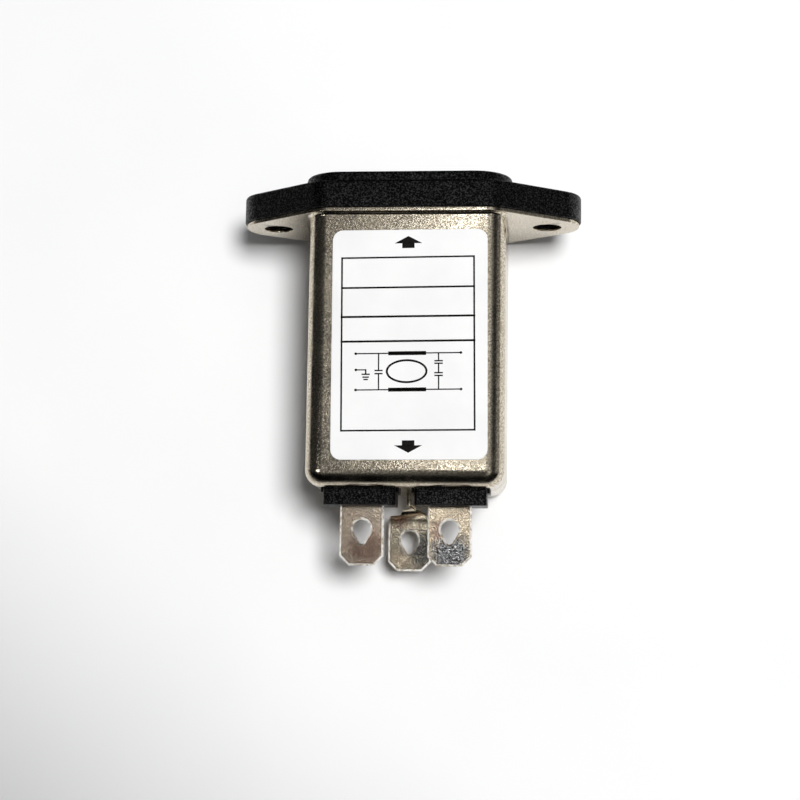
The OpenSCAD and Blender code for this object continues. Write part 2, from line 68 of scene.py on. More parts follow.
def belt(circles, steps=10):
    """Points of the outline that joins circles (x, z, radius) by straight lines touching them."""
    turns = []
    for (ax, az, ar), (bx, bz, br) in zip(circles, circles[1:] + circles[:1]):
        run = math.hypot(bx - ax, bz - az)
        turns.append(math.atan2(bz - az, bx - ax) - math.pi / 2 + math.asin((ar - br) / run))
    points = []
    for i, (x, z, r) in enumerate(circles):
        sweep = (turns[i] - turns[i - 1]) % (2 * math.pi)
        for k in range(steps + 1):
            a = turns[i - 1] + sweep * k / steps
            points.append((x + r * math.cos(a), z + r * math.sin(a)))
    return points


def round_rect(w, h, r, mid=(0, 0), steps=10):
    """Outline of a rectangle with rounded corners."""
    x, z = w / 2 - r, h / 2 - r
    return belt([(mid[0] + sx * x, mid[1] + sz * z, r) for sx, sz in ((1, 1), (-1, 1), (-1, -1), (1, -1))], steps)


def circle(x, z, r, steps=32):
    """Points of a circle."""
    turns = [2 * math.pi * k / steps for k in range(steps)]
    return [(x + r * math.cos(a), z + r * math.sin(a)) for a in turns]


def loop(bm, outline, y):
    """Closed row of vertices: an outline in x and z, at one depth y, all in millimetres."""
    return [bm.verts.new((x * MM, y * MM, z * MM)) for x, z in outline]


def wall(bm, one, two):
    """Faces between two rows of the same length."""
    for i in range(len(one)):
        k = (i + 1) % len(one)
        bm.faces.new((one[i], one[k], two[k], two[i]))


def stack(bm, rows):
    """Walls from each row to the next; gives the first and the last row."""
    for one, two in zip(rows, rows[1:]):
        wall(bm, one, two)
    return rows[0], rows[-1]


def face_between(bm, *rows):
    """Flat face inside the first row, with the other rows as holes in it."""
    edges = []
    for row in rows:
        for i in range(len(row)):
            pair = (row[i], row[(i + 1) % len(row)])
            edges.append(bm.edges.get(pair) or bm.edges.new(pair))
    bmesh.ops.triangle_fill(bm, use_beauty=True, use_dissolve=False, edges=edges)


def piece(name, bm, made, sharp=32, replaces=()):
    """Turns a mesh into a piece that rides with the body, in its own material."""
    bmesh.ops.remove_doubles(bm, verts=bm.verts, dist=1e-7)
    bmesh.ops.recalc_face_normals(bm, faces=bm.faces)
    mesh = bpy.data.meshes.new(name)
    bm.to_mesh(mesh)
    bm.free()
    mesh.shade_smooth()
    mesh.set_sharp_from_angle(angle=math.radians(sharp))
    mesh.materials.append(made)
    thing = bpy.data.objects.new(name, mesh)
    scene.collection.objects.link(thing)
    even = thing.modifiers.new("even_shading", "WEIGHTED_NORMAL")
    even.keep_sharp = True
    even.weight = 90
    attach(thing, "root")
    if replaces:
        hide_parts(*replaces)
    return thing


def new_group(name, ins, outs):
    """Empty node group with named float inputs (name, default) and outputs (name, kind)."""
    group = bpy.data.node_groups.new(name, "ShaderNodeTree")
    for title, value in ins:
        group.interface.new_socket(title, in_out="INPUT", socket_type="NodeSocketFloat").default_value = value
    for title, kind in outs:
        group.interface.new_socket(title, in_out="OUTPUT", socket_type="NodeSocket" + kind)
    tree = group.nodes
    return group, tree, group.links, tree.new("NodeGroupInput"), tree.new("NodeGroupOutput")


def math_node(tree, links, kind, a, b=None, c=None):
    """Math node fed by sockets or plain numbers."""
    node = tree.new("ShaderNodeMath")
    node.operation = kind
    for i, value in enumerate((a, b, c)):
        if value is None:
            continue
        if isinstance(value, (int, float)):
            node.inputs[i].default_value = value
        else:
            links.new(value, node.inputs[i])
    return node.outputs[0]


def noise_node(tree, links, scale, detail=2.0, rough=0.5, stretch=(1, 1, 1)):
    """Noise in the object's own millimetres; scale is in features per millimetre."""
    place = tree.new("ShaderNodeTexCoord")
    size = tree.new("ShaderNodeVectorMath")
    size.operation = "MULTIPLY"
    size.inputs[1].default_value = tuple(1000 * s for s in stretch)
    links.new(place.outputs["Object"], size.inputs[0])
    noise = tree.new("ShaderNodeTexNoise")
    links.new(size.outputs[0], noise.inputs["Vector"])
    if isinstance(scale, (int, float)):
        noise.inputs["Scale"].default_value = scale
    else:
        links.new(scale, noise.inputs["Scale"])
    noise.inputs["Detail"].default_value = detail
    noise.inputs["Roughness"].default_value = rough
    return noise.outputs["Fac"]


def range_node(tree, links, value, low, high, to_low=0.0, to_high=1.0):
    """Spreads a value's range from low..high to to_low..to_high."""
    node = tree.new("ShaderNodeMapRange")
    links.new(value, node.inputs["Value"])
    for title, number in (("From Min", low), ("From Max", high), ("To Min", to_low), ("To Max", to_high)):
        if isinstance(number, (int, float)):
            node.inputs[title].default_value = number
        else:
            links.new(number, node.inputs[title])
    return node.outputs["Result"]


def mix_node(tree, links, mask, one, two):
    """Colour mixed from one to two by a mask."""
    node = tree.new("ShaderNodeMix")
    node.data_type = "RGBA"
    if isinstance(mask, (int, float)):
        node.inputs["Factor"].default_value = mask
    else:
        links.new(mask, node.inputs["Factor"])
    for socket, value in ((node.inputs[6], one), (node.inputs[7], two)):
        if isinstance(value, tuple):
            socket.default_value = (*value, 1)
        else:
            links.new(value, socket)
    return node.outputs[2]


# Edge mask for rubbed wear and painted edge highlights: it rises on convex edges, broken up by noise.
edge_wear_and_sheen, t, l, i, o = new_group("edge_wear_and_sheen", [("Width", 0.0002), ("Breakup", 3.0)], [("Worn_and_sheen", "Float")])
soft = t.new("ShaderNodeBevel")
soft.samples = 6
l.new(i.outputs["Width"], soft.inputs["Radius"])
plain = t.new("ShaderNodeNewGeometry")
turn = t.new("ShaderNodeVectorMath")
turn.operation = "DOT_PRODUCT"
l.new(soft.outputs["Normal"], turn.inputs[0])
l.new(plain.outputs["Normal"], turn.inputs[1])
edge = range_node(t, l, turn.outputs["Value"], 0.99, 0.8)
broken = range_node(t, l, noise_node(t, l, i.outputs["Breakup"], 3), 0.35, 0.6)
l.new(math_node(t, l, "MULTIPLY", edge, broken), o.inputs["Worn_and_sheen"])

# Spark-eroded grain: fine pits and a few brighter crowns, with a height for the bump.
eroded_grain, t, l, i, o = new_group(
    "eroded_grain", [("Grains per mm", 5.0)], [("Crowns", "Float"), ("Height", "Float")]
)
fine = noise_node(t, l, i.outputs["Grains per mm"], 2, 0.6)
l.new(range_node(t, l, fine, 0.46, 0.68), o.inputs["Crowns"])
l.new(fine, o.inputs["Height"])


def use(tree, group, **values):
    """Places a node group in a material with its own values."""
    node = tree.new("ShaderNodeGroup")
    node.node_tree = group
    for title, value in values.items():
        node.inputs[title.replace("_", " ")].default_value = value
    return node


def material(name, color, metallic, roughness):
    """New material; gives it with its nodes, links and Principled shader."""
    made = bpy.data.materials.new(name)
    made.use_nodes = True
    shader = made.node_tree.nodes["Principled BSDF"]
    shader.inputs["Base Color"].default_value = (*color, 1)
    shader.inputs["Metallic"].default_value = metallic
    shader.inputs["Roughness"].default_value = roughness
    return made, made.node_tree.nodes, made.node_tree.links, shader


def bump(tree, links, shader, height, strength, distance):
    """Feeds a height into the shader's normal, distance in metres."""
    node = tree.new("ShaderNodeBump")
    node.inputs["Strength"].default_value = strength
    node.inputs["Distance"].default_value = distance
    links.new(height, node.inputs["Height"])
    links.new(node.outputs["Normal"], shader.inputs["Normal"])


def moulded_black(name, grains, gloss, depth):
    """Black nylon: the grain's crowns shine, its pits do not, and edges are a little lighter, partly rubbed wear and
    partly a painted highlight.
    """
    made, t, l, s = material(name, (0.001, 0.001, 0.001), 0.0, gloss)
    grain = use(t, eroded_grain, Grains_per_mm=grains)
    worn_and_sheen = use(t, edge_wear_and_sheen, Width=0.00015, Breakup=4.0)
    shade = mix_node(t, l, grain.outputs["Crowns"], (0.0004, 0.0004, 0.0005), (0.0022, 0.0022, 0.0023))
    # Lighter edges: partly rubbed wear, partly a painted highlight along the edges.
    l.new(mix_node(t, l, math_node(t, l, "MULTIPLY", worn_and_sheen.outputs["Worn_and_sheen"], 0.7), shade, (0.04, 0.04, 0.041)),
          s.inputs["Base Color"])
    l.new(range_node(t, l, grain.outputs["Crowns"], 0, 1, 0.05, 0.9), s.inputs["Specular IOR Level"])
    cloud = noise_node(t, l, 0.25, 3)
    l.new(range_node(t, l, cloud, 0.3, 0.7, gloss - 0.06, gloss + 0.1), s.inputs["Roughness"])
    bump(t, l, s, grain.outputs["Height"], 0.5, depth)
    return made


nylon_black = moulded_black("nylon_black", 4.2, 0.42, 0.00003)

ear_x, ear_r, hole_x = 20.0, 5.0, 20.0
case_w, case_h, case_r = 28.3, 20.3, 2.7
flange_margin, flange_rear, flange_front = 1.1, 0.6, 4.5
boss_w, boss_h, boss_r, boss_front = 29.9, 22.2, 5.5, 5.85
recess_w, recess_h, recess_cut, recess_r, recess_floor = 24.4, 16.4, 5.2, 1.5, -10.95
body_w, body_h, body_r, body_back = 26.9, 18.9, 2.0, -12.55
screw_r, sink_r, sink_depth = 1.75, 3.3, 1.65


def flange_outline(inset):
    """Outline of the flange: round ears and shoulders round the case's corners."""
    x, z, r = case_w / 2 - case_r, case_h / 2 - case_r, case_r + flange_margin - inset
    return belt([(ear_x, 0, ear_r - inset), (x, z, r), (-x, z, r),
                 (-ear_x, 0, ear_r - inset), (-x, -z, r), (x, -z, r)])


def recess_outline(grow):
    """Outline of the connector's recess, with its two cut corners at the bottom."""
    x, z, slope = recess_w / 2, recess_h / 2, math.tan(math.radians(22.5))
    r, small = recess_r, 0.3
    low = [(-x + recess_cut - small * slope, -z + small), (x - recess_cut + small * slope, -z + small)]
    side = z - recess_cut - small * slope
    return belt([(x - r, z - r, r + grow), (-x + r, z - r, r + grow), (-x + small, -side, small + grow),
                 (low[0][0], low[0][1], small + grow), (low[1][0], low[1][1], small + grow),
                 (x - small, -side, small + grow)])


bm = bmesh.new()
rear, mid = stack(bm, [loop(bm, flange_outline(e), y) for e, y in (
    (0.10, flange_rear), (0.03, flange_rear + 0.05), (0.0, flange_rear + 0.15),
    (0.0, flange_front - 0.35), (0.05, flange_front - 0.17), (0.15, flange_front - 0.05), (0.32, flange_front))])
boss_foot, boss_face = stack(bm, [loop(bm, round_rect(boss_w - 2 * e, boss_h - 2 * e, boss_r - e), y) for e, y in (
    (0.05, flange_front), (0.0, flange_front + 0.08), (0.0, boss_front - 0.42), (0.06, boss_front - 0.2),
    (0.18, boss_front - 0.06), (0.4, boss_front))])
mouth, floor_rim = stack(bm, [loop(bm, recess_outline(g), y) for g, y in (
    (0.35, boss_front), (0.12, boss_front - 0.1), (0.0, boss_front - 0.35), (0.0, recess_floor + 0.2),
    (-0.1, recess_floor))])
body_root, body_end = stack(bm, [loop(bm, round_rect(body_w, body_h, body_r), flange_rear)] + [
    loop(bm, round_rect(body_w - 2 * e, body_h - 2 * e, body_r - e), y) for e, y in (
        (0.0, body_back + 0.3), (0.3, body_back))])
sinks, bores = [], []
for side in (1, -1):
    sink, bore = stack(bm, [loop(bm, circle(side * hole_x, 0, r), y) for r, y in (
        (sink_r + 0.1, flange_front), (sink_r, flange_front - 0.1), (screw_r, flange_front - sink_depth),
        (screw_r, flange_rear))])
    sinks.append(sink)
    bores.append(bore)
face_between(bm, mid, boss_foot, *sinks)
face_between(bm, boss_face, mouth)
face_between(bm, floor_rim)
face_between(bm, rear, body_root, *bores)
face_between(bm, body_end)
piece("housing", bm, nylon_black, replaces=["inlet_housing"])

# ---------------------------------------------------------------------------------------------
# Drawn case with its ears: one piece of 0.6 mm steel, deep-drawn, pierced and nickel-plated. The
# plating is satin and uneven, with dull clouds and a fine speckle from the drawn surface.

# Satin plating: a salt-and-pepper speckle, dull clouds, and the height behind the speckle.
satin_plate, t, l, i, o = new_group(
    "satin_plate", [("Specks per mm", 4.0), ("Clouds per mm", 0.2)],
    [("Speck", "Float"), ("Cloud", "Float"), ("Height", "Float")]
)
coarse = noise_node(t, l, i.outputs["Specks per mm"], 2, 0.6)
l.new(range_node(t, l, coarse, 0.38, 0.62), o.inputs["Speck"])
l.new(range_node(t, l, noise_node(t, l, i.outputs["Clouds per mm"], 5, 0.6), 0.35, 0.65), o.inputs["Cloud"])
l.new(coarse, o.inputs["Height"])


# Patch mask: a ragged round mask about a place in the part's own millimetres, for patches of patina and of painted
# light.
patina_and_light_patch, t, l, i, o = new_group("patina_and_light_patch", [("X", 0.0), ("Y", 0.0), ("Radius", 2.0)], [("Mask", "Float")])
parts = t.new("ShaderNodeSeparateXYZ")
l.new(t.new("ShaderNodeTexCoord").outputs["Object"], parts.inputs[0])
off_x = math_node(t, l, "SUBTRACT", math_node(t, l, "MULTIPLY", parts.outputs[0], 1000), i.outputs["X"])
off_y = math_node(t, l, "SUBTRACT", math_node(t, l, "MULTIPLY", parts.outputs[1], 1000), i.outputs["Y"])
far = math_node(t, l, "SQRT", math_node(t, l, "ADD", math_node(t, l, "MULTIPLY", off_x, off_x),
                                        math_node(t, l, "MULTIPLY", off_y, off_y)))
ragged = math_node(t, l, "MULTIPLY", math_node(t, l, "SUBTRACT", noise_node(t, l, 0.9, 4, 0.7), 0.5), 4.0)
depth = math_node(t, l, "SUBTRACT", i.outputs["Radius"], math_node(t, l, "ADD", far, ragged))
l.new(range_node(t, l, depth, -0.9, 0.9), o.inputs["Mask"])


def plated(name, dark, pale, tarnish, gloss, specks, clouds, depth, patches=()):
    """Plated metal: speckle, clouds of tarnish, rubbed bright edges and patches of another tone: patina, and in
    places painted highlight, shade and reflection.
    """
    made, t, l, s = material(name, pale, 1.0, gloss)
    plate = use(t, satin_plate, Specks_per_mm=specks, Clouds_per_mm=clouds)
    worn_and_sheen = use(t, edge_wear_and_sheen, Width=0.00012, Breakup=6.0)
    base = mix_node(t, l, plate.outputs["Speck"], dark, pale)
    base = mix_node(t, l, math_node(t, l, "MULTIPLY", plate.outputs["Cloud"], 0.5), base, tarnish)
    for x, y, radius, low_tone, high_tone in patches:
        patch = use(t, patina_and_light_patch, X=x, Y=y, Radius=radius)
        tone = mix_node(t, l, plate.outputs["Speck"], low_tone, high_tone)
        base = mix_node(t, l, patch.outputs["Mask"], base, tone)
    l.new(mix_node(t, l, math_node(t, l, "MULTIPLY", worn_and_sheen.outputs["Worn_and_sheen"], 0.6), base, (0.9, 0.86, 0.78)),
          s.inputs["Base Color"])
    l.new(range_node(t, l, plate.outputs["Cloud"], 0, 1, gloss - 0.05, gloss + 0.08), s.inputs["Roughness"])
    bump(t, l, s, plate.outputs["Height"], 0.5, depth)
    return made


nickel = plated("satin_nickel", (0.30, 0.26, 0.195), (0.84, 0.765, 0.63), (0.50, 0.43, 0.32),
                0.2, 3.9, 0.16, 0.000024)

sheet_t, ear_inset, root_r, rear_r, case_back = 0.6, 0.3, 0.5, 2.4, -39.2
block_x, block_z, shank_w, shank_h = 6.475, 4.0, 8.9, 4.2
earth_z, neck_w, tab_t, slot_gap, case_hole_r = -3.6, 3.2, 0.8, 0.2, 2.1


def case_outline(grow):
    """Outline of the case's wall, moved out or in."""
    return round_rect(case_w + 2 * grow, case_h + 2 * grow, case_r + grow, steps=14)


bm = bmesh.new()
root = [(root_r * (1 - math.sin(a)), -root_r * (1 - math.cos(a))) for a in (math.radians(15 * k) for k in range(7))]
sides = [(0.0, -root_r + (case_back + rear_r + root_r) * k / 12) for k in range(1, 13)]
bend = [(-rear_r * (1 - math.cos(a)), case_back + rear_r * (1 - math.sin(a)))
        for a in (math.radians(7.5 * k) for k in range(1, 13))]
ear_root, rear_rim = stack(bm, [loop(bm, case_outline(g), y) for g, y in root + sides + bend])
ear_rim = loop(bm, flange_outline(ear_inset), 0.0)
ear_holes = [loop(bm, circle(side * hole_x, 0, case_hole_r), 0.0) for side in (1, -1)]
face_between(bm, ear_rim, ear_root, *ear_holes)
slots = [
    loop(bm, round_rect(shank_w + slot_gap, shank_h + slot_gap, 0.1, (side * block_x, block_z), 1), case_back)
    for side in (1, -1)]
slots.append(loop(bm, round_rect(tab_t + slot_gap, neck_w + slot_gap, 0.1, (0, earth_z), 1), case_back))
face_between(bm, rear_rim, *slots)
case = piece("drawn_case", bm, nickel, replaces=["case_shell"])
case.modifiers.remove(case.modifiers["even_shading"])
sheet = case.modifiers.new("sheet", "SOLIDIFY")
sheet.thickness = sheet_t * MM
sheet.offset = -1
sheet.use_even_offset = True
sheared = case.modifiers.new("sheared_edge", "BEVEL")
sheared.width = 0.08 * MM
sheared.segments = 2
sheared.limit_method = "ANGLE"
sheared.angle_limit = math.radians(60)
even = case.modifiers.new("even_shading", "WEIGHTED_NORMAL")
even.keep_sharp = True
even.weight = 90

# ---------------------------------------------------------------------------------------------
# Terminal blocks: two black moulded insulators, pushed through the rear wall until they snap in.
# Each carries a tab, and its collar seals the slot from behind.

block_black = moulded_black("block_black", 4.6, 0.36, 0.00003)


def dress(node, made, round_edges=0.0):
    """Gives a CAD node its finish, and rounds its sharp edges by a few hundredths."""
    thing = nodes[node]
    thing.data.materials.clear()
    thing.data.materials.append(made)
    if round_edges:
        joined = thing.modifiers.new("joined", "WELD")
        joined.merge_threshold = 1e-6
        rounded = thing.modifiers.new("rounded_edges", "BEVEL")
        rounded.width = round_edges * MM
        rounded.segments = 3
        rounded.limit_method = "ANGLE"
        rounded.angle_limit = math.radians(40)
        even = thing.modifiers.new("even_shading", "WEIGHTED_NORMAL")
        even.weight = 90


dress("line_terminal_block", block_black, 0.12)
dress("neutral_terminal_block", block_black, 0.12)

# ---------------------------------------------------------------------------------------------
# Tabs: stamped from 0.8 mm brass strip and tin-plated, with coined edges and a drop-shaped eye
# for hooking a wire through before soldering. The plating shows rosy and dull patches; a few patches are painted
# light instead: a painted dark reflection low on the neutral blade, and a painted highlight and painted shade on the
# earth tab's turn.

gold, rosy = (0.86, 0.76, 0.58), (0.46, 0.32, 0.25)
line_tin = plated("line_tin", (0.42, 0.33, 0.25), (0.86, 0.76, 0.62), (0.60, 0.46, 0.35), 0.2, 4.6, 0.35, 0.00003,
                  [(-5.6, -47.4, 2.4, (0.30, 0.21, 0.16), rosy)])
neutral_tin = plated("neutral_tin", (0.40, 0.33, 0.24), gold, (0.62, 0.50, 0.38), 0.2, 4.6, 0.35, 0.00004,
                     [(5.0, -45.2, 1.5, (0.26, 0.19, 0.15), rosy),
                      # The near-black patch low on this blade is a painted dark reflection of something dark above
                      # it.
                      (6.6, -48.4, 2.7, (0.03, 0.03, 0.032), (0.5, 0.5, 0.5))])
earth_tin = plated("earth_tin", (0.16, 0.145, 0.11), (0.62, 0.55, 0.43), (0.30, 0.26, 0.19), 0.2, 4.6, 0.35, 0.00004,
                   [(2.2, -47.5, 2.3, (0.02, 0.02, 0.02), (0.22, 0.21, 0.19)),
                    # The gold patch on the turn at (0.6, -42.6) is a painted highlight along the turn's lit ridge.
                    (-1.2, -49.2, 1.2, (0.4, 0.3, 0.22), gold), (0.6, -42.6, 1.7, (0.5, 0.43, 0.33), gold),
                    # The dark rusty patch at (-1.4, -43.2) is partly rust and partly painted shade on the turn's
                    # shaded half.
                    (-1.4, -43.2, 0.8, (0.2, 0.09, 0.05), rosy)])

# Bright finish of the coined faces
burnished, t, l, s = material("burnished_tin", (0.95, 0.92, 0.85), 1.0, 0.25)
rubbed = range_node(t, l, noise_node(t, l, 1.6, 3, 0.6), 0.38, 0.55)
l.new(mix_node(t, l, rubbed, (0.45, 0.38, 0.28), (0.97, 0.94, 0.88)), s.inputs["Base Color"])
l.new(range_node(t, l, noise_node(t, l, 4.0, 2), 0.3, 0.7, 0.18, 0.4), s.inputs["Roughness"])


def burnish(thing, start=-42.8):
    """Gives the sloped, coined faces of a tab the bright finish, from start to its tip."""
    thing.data.materials.append(burnished)
    for face in thing.data.polygons:
        if 0.2 < abs(face.normal.z) < 0.95 and face.center.y < start * MM:
            face.material_index = 1


tab_w, coin, coin_depth = 6.3, 0.26, 0.36
tab_cut, tab_root = 1.35, -37.0
eye_r, eye_point_r, eye_run, eye_inset, earth_eye_inset = 1.3, 0.45, 1.7, 3.55, 2.9


def blade_outline(x, start, tip, inset):
    """Outline of a blade seen from its flat side, with the two corners at its tip cut off."""
    w, slope = tab_w / 2 - inset, inset * math.tan(math.radians(22.5))
    return [(x - w, start), (x - w, tip + tab_cut + slope), (x - w + tab_cut + slope - inset, tip + inset),
            (x + w - tab_cut - slope + inset, tip + inset), (x + w, tip + tab_cut + slope), (x + w, start)]


def eye_outline(x, tip, inset, grow):
    """Drop-shaped outline of the eye, its point towards the tip."""
    return belt([(x, tip + inset, eye_point_r + grow), (x, tip + inset + eye_run, eye_r + grow)], 16)


def flat_loop(bm, outline, z):
    """Closed row of vertices: an outline in x and y, at one height z."""
    return [bm.verts.new((x * MM, y * MM, z * MM)) for x, y in outline]


def blade(bm, x, z, start, tip, inset):
    """Blade with coined edges and a coined eye."""
    half = tab_t / 2
    outside = [flat_loop(bm, blade_outline(x, start, tip, e), z + h) for e, h in (
        (coin, -half), (0.0, coin_depth - half), (0.0, half - coin_depth), (coin, half))]
    eye = [flat_loop(bm, eye_outline(x, tip, inset, g), z + h) for g, h in (
        (coin, -half), (0.0, coin_depth - half), (0.0, half - coin_depth), (coin, half))]
    stack(bm, outside)
    stack(bm, eye)
    face_between(bm, outside[0], eye[0])
    face_between(bm, outside[-1], eye[-1])


for name, node, made in (("line_blade", "line_tab", line_tin), ("neutral_blade", "neutral_tab", neutral_tin)):
    low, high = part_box(node)
    bm = bmesh.new()
    blade(bm, (low.x + high.x) / 2 / MM, (low.z + high.z) / 2 / MM, tab_root, low.y / MM, eye_inset)
    burnish(piece(name, bm, made, sharp=20, replaces=[node]))

# The earth tab's strip leaves the wall edge-on and turns a quarter round; the turn fades out in
# the upper half of its blade.
low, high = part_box("earth_tab")
turn_start, turn_end, shoulder = -41.0, -44.5, -42.35
bm = bmesh.new()
blade(bm, 0, earth_z, turn_end, low.y / MM, earth_eye_inset)


def ramp(value, start, end):
    """Smooth step from 0 at start to 1 at end."""
    k = min(1, max(0, (value - start) / (end - start)))
    return k * k * (3 - 2 * k)


def strip_section(bm, y):
    """Section of the strip across its run: a flat bar with coined corners, turned and widened."""
    half = tab_t / 2
    left = neck_w / 2 + (tab_w - neck_w) / 2 * ramp(y, shoulder, shoulder - 0.15)
    right = neck_w / 2 + (tab_w - neck_w) / 2 * ramp(y, turn_start - 0.3, shoulder - 0.5)
    done = min(1, max(0, (turn_start - y) / (turn_start - turn_end)))
    angle = math.pi / 2 * (1 - done) ** 2.8
    corners = [(-left, -half + coin_depth), (-left + coin, -half), (right - coin, -half), (right, -half + coin_depth),
               (right, half - coin_depth), (right - coin, half), (-left + coin, half), (-left, half - coin_depth)]
    c, s = math.cos(angle), math.sin(angle)
    return [bm.verts.new(((x * c - z * s) * MM, y * MM, (earth_z + x * s + z * c) * MM)) for x, z in corners]


stations = [-37.8, -39.5, -40.4, turn_start]
stations += [turn_start - (turn_start - turn_end) * k / 28 for k in range(1, 28)]
stations += [shoulder - 0.05, shoulder - 0.1, shoulder - 0.15, turn_end]
rows = [strip_section(bm, y) for y in sorted(stations, reverse=True)]
stack(bm, rows)
face_between(bm, rows[0])
burnish(piece("earth_blade", bm, earth_tin, sharp=28, replaces=["earth_tab"]))

# ---------------------------------------------------------------------------------------------
# Label: glossy white film, die-cut with round corners and stuck on a little askew. Its print is a
# thin layer of black ink: a ruled frame, a plain circuit diagram and an arrow at each end.

film, t, l, s = material("white_film", (0.93, 0.93, 0.93), 0.0, 0.35)
aged = range_node(t, l, noise_node(t, l, 0.12, 3), 0.35, 0.65)
l.new(mix_node(t, l, aged, (0.95, 0.95, 0.945), (0.90, 0.90, 0.90)), s.inputs["Base Color"])
l.new(range_node(t, l, noise_node(t, l, 0.8, 3), 0.3, 0.7, 0.3, 0.42), s.inputs["Roughness"])
bump(t, l, s, noise_node(t, l, 3.0, 2), 0.15, 0.00002)

label_low, label_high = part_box("label")
label_mid = ((label_low.x + label_high.x) / 2 / MM, (label_low.y + label_high.y) / 2 / MM)
label_base, label_top = label_low.z / MM, label_high.z / MM
label_turn, print_turn = math.radians(0.4), math.radians(0.7)
film_w, film_h, film_r, ink_lift = 22.1, 32.9, 1.5, 0.006
bm = bmesh.new()
film_rows = [flat_loop(bm, round_rect(film_w - 2 * e, film_h - 2 * e, film_r - e), z) for e, z in (
    (0.0, label_base), (0.0, label_top - 0.03), (0.03, label_top))]
stack(bm, film_rows)
face_between(bm, film_rows[0])
face_between(bm, film_rows[-1])
bmesh.ops.rotate(bm, verts=bm.verts, matrix=Matrix.Rotation(label_turn, 3, "Z"))
bmesh.ops.translate(bm, verts=bm.verts, vec=(label_mid[0] * MM, label_mid[1] * MM, 0))
piece("label_film", bm, film, replaces=["label"])

ink, t, l, s = material("black_ink", (0.01, 0.01, 0.01), 0.0, 0.4)
thin = range_node(t, l, noise_node(t, l, 6.0, 2), 0.4, 0.7)
l.new(mix_node(t, l, thin, (0.002, 0.002, 0.002), (0.012, 0.009, 0.007)), s.inputs["Base Color"])
l.new(range_node(t, l, noise_node(t, l, 2.0, 2), 0.3, 0.7, 0.32, 0.5), s.inputs["Roughness"])
s.inputs["Specular IOR Level"].default_value = 0.15


def patch(bm, points):
    """Flat patch of ink on the film."""
    bm.faces.new([bm.verts.new((x * MM, y * MM, (label_top + ink_lift) * MM)) for x, y in points])


def stroke(bm, a, b, width):
    """Printed line with square ends."""
    run = Vector((b[0] - a[0], b[1] - a[1])).normalized() * width / 2
    side = Vector((-run.y, run.x))
    a, b = Vector(a) - run, Vector(b) + run
    patch(bm, [a - side, b - side, b + side, a + side])


def ring(bm, x, y, rx, ry, width, steps=64):
    """Printed ellipse."""
    for k in range(steps):
        a, b = 2 * math.pi * k / steps, 2 * math.pi * (k + 1) / steps
        patch(bm, [(x + (rx + s * width / 2) * math.cos(g), y + (ry + s * width / 2) * math.sin(g))
                   for g, s in ((a, -1), (a, 1), (b, 1), (b, -1))])


def dot(bm, x, y, r):
    """Printed dot."""
    patch(bm, circle(x, y, r, 20))


bm = bmesh.new()
# Ruled frame
left, right, top, bottom = -9.38, 9.42, 12.29, -12.46
for a, b, w in (((left, top), (right, top), 0.25), ((left, bottom), (right, bottom), 0.24),
                ((left, top), (left, bottom), 0.25), ((right, top), (right, bottom), 0.25),
                ((left, 7.95), (right, 7.95), 0.27), ((left, 3.76), (right, 3.76), 0.3),
                ((left, 0.22), (right, 0.22), 0.3)):
    stroke(bm, a, b, w)
# Arrows towards the mains side and the load side
for s, y in ((1, 13.67), (-1, -13.94)):
    patch(bm, [(0.1 + s * dx, y + s * dy) for dx, dy in ((-0.88, -0.06), (0.88, -0.06), (0.88, 0.7), (-0.88, 0.7))])
    patch(bm, [(0.1 + s * dx, y + s * dy) for dx, dy in ((-1.98, 0.64), (1.98, 0.64), (0, 1.7))])
# Circuit: two wires with the choke's halves, one capacitor across them and two to earth
for y in (-1.52, -6.7):
    stroke(bm, (-7.34, y), (7.53, y), 0.18)
    stroke(bm, (-2.45, y), (2.35, y), 0.56)
    for x in (-7.34, 7.53):
        dot(bm, x, y, 0.19)
ring(bm, -0.13, -4.09, 2.8, 1.56, 0.3)
for x, gaps, w in ((-4.1, [(-3.95, -4.4)], 0.96), (4.38, [(-2.65, -3.01), (-4.35, -4.74)], 1.0)):
    y = -1.52
    for upper, lower in gaps:
        stroke(bm, (x, y), (x, upper), 0.19)
        stroke(bm, (x - w / 2, upper), (x + w / 2, upper), 0.2)
        stroke(bm, (x - w / 2, lower), (x + w / 2, lower), 0.2)
        y = lower
    stroke(bm, (x, y), (x, -6.7), 0.19)
dot(bm, -7.32, -3.84, 0.19)
stroke(bm, (-7.32, -3.84), (-5.92, -3.84), 0.18)
stroke(bm, (-5.92, -3.84), (-5.92, -4.47), 0.2)
for half, y in ((0.48, -4.47), (0.36, -4.88), (0.21, -5.22)):
    stroke(bm, (-5.92 - half, y), (-5.92 + half, y), 0.2)
bmesh.ops.rotate(bm, verts=bm.verts, matrix=Matrix.Rotation(print_turn, 3, "Z"))
bmesh.ops.translate(bm, verts=bm.verts, vec=((label_mid[0] - 0.24) * MM, (label_mid[1] + 0.15) * MM, 0))
for face in bm.faces:
    face.normal_update()
    if face.normal.z < 0:
        face.normal_flip()
mesh = bpy.data.meshes.new("label_print")
bm.to_mesh(mesh)
bm.free()
mesh.materials.append(ink)
label_print = bpy.data.objects.new("label_print", mesh)
scene.collection.objects.link(label_print)
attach(label_print, "root")

# ---------------------------------------------------------------------------------------------
# Socket pins: three solid brass blades pressed into the socket's floor, nickel-plated, with
# sloped tips that guide the connector on.

pin_brass = plated("plated_pin", (0.55, 0.5, 0.42), (0.8, 0.76, 0.68), (0.6, 0.52, 0.42), 0.22, 5.0, 0.3, 0.000015)
for node in ("line_pin", "neutral_pin", "earth_pin"):
    dress(node, pin_brass, 0.08)

# ---------------------------------------------------------------------------------------------
# Choke inside the case: a ferrite ring with two windings of enamelled copper and a plastic plate
# that keeps them apart.

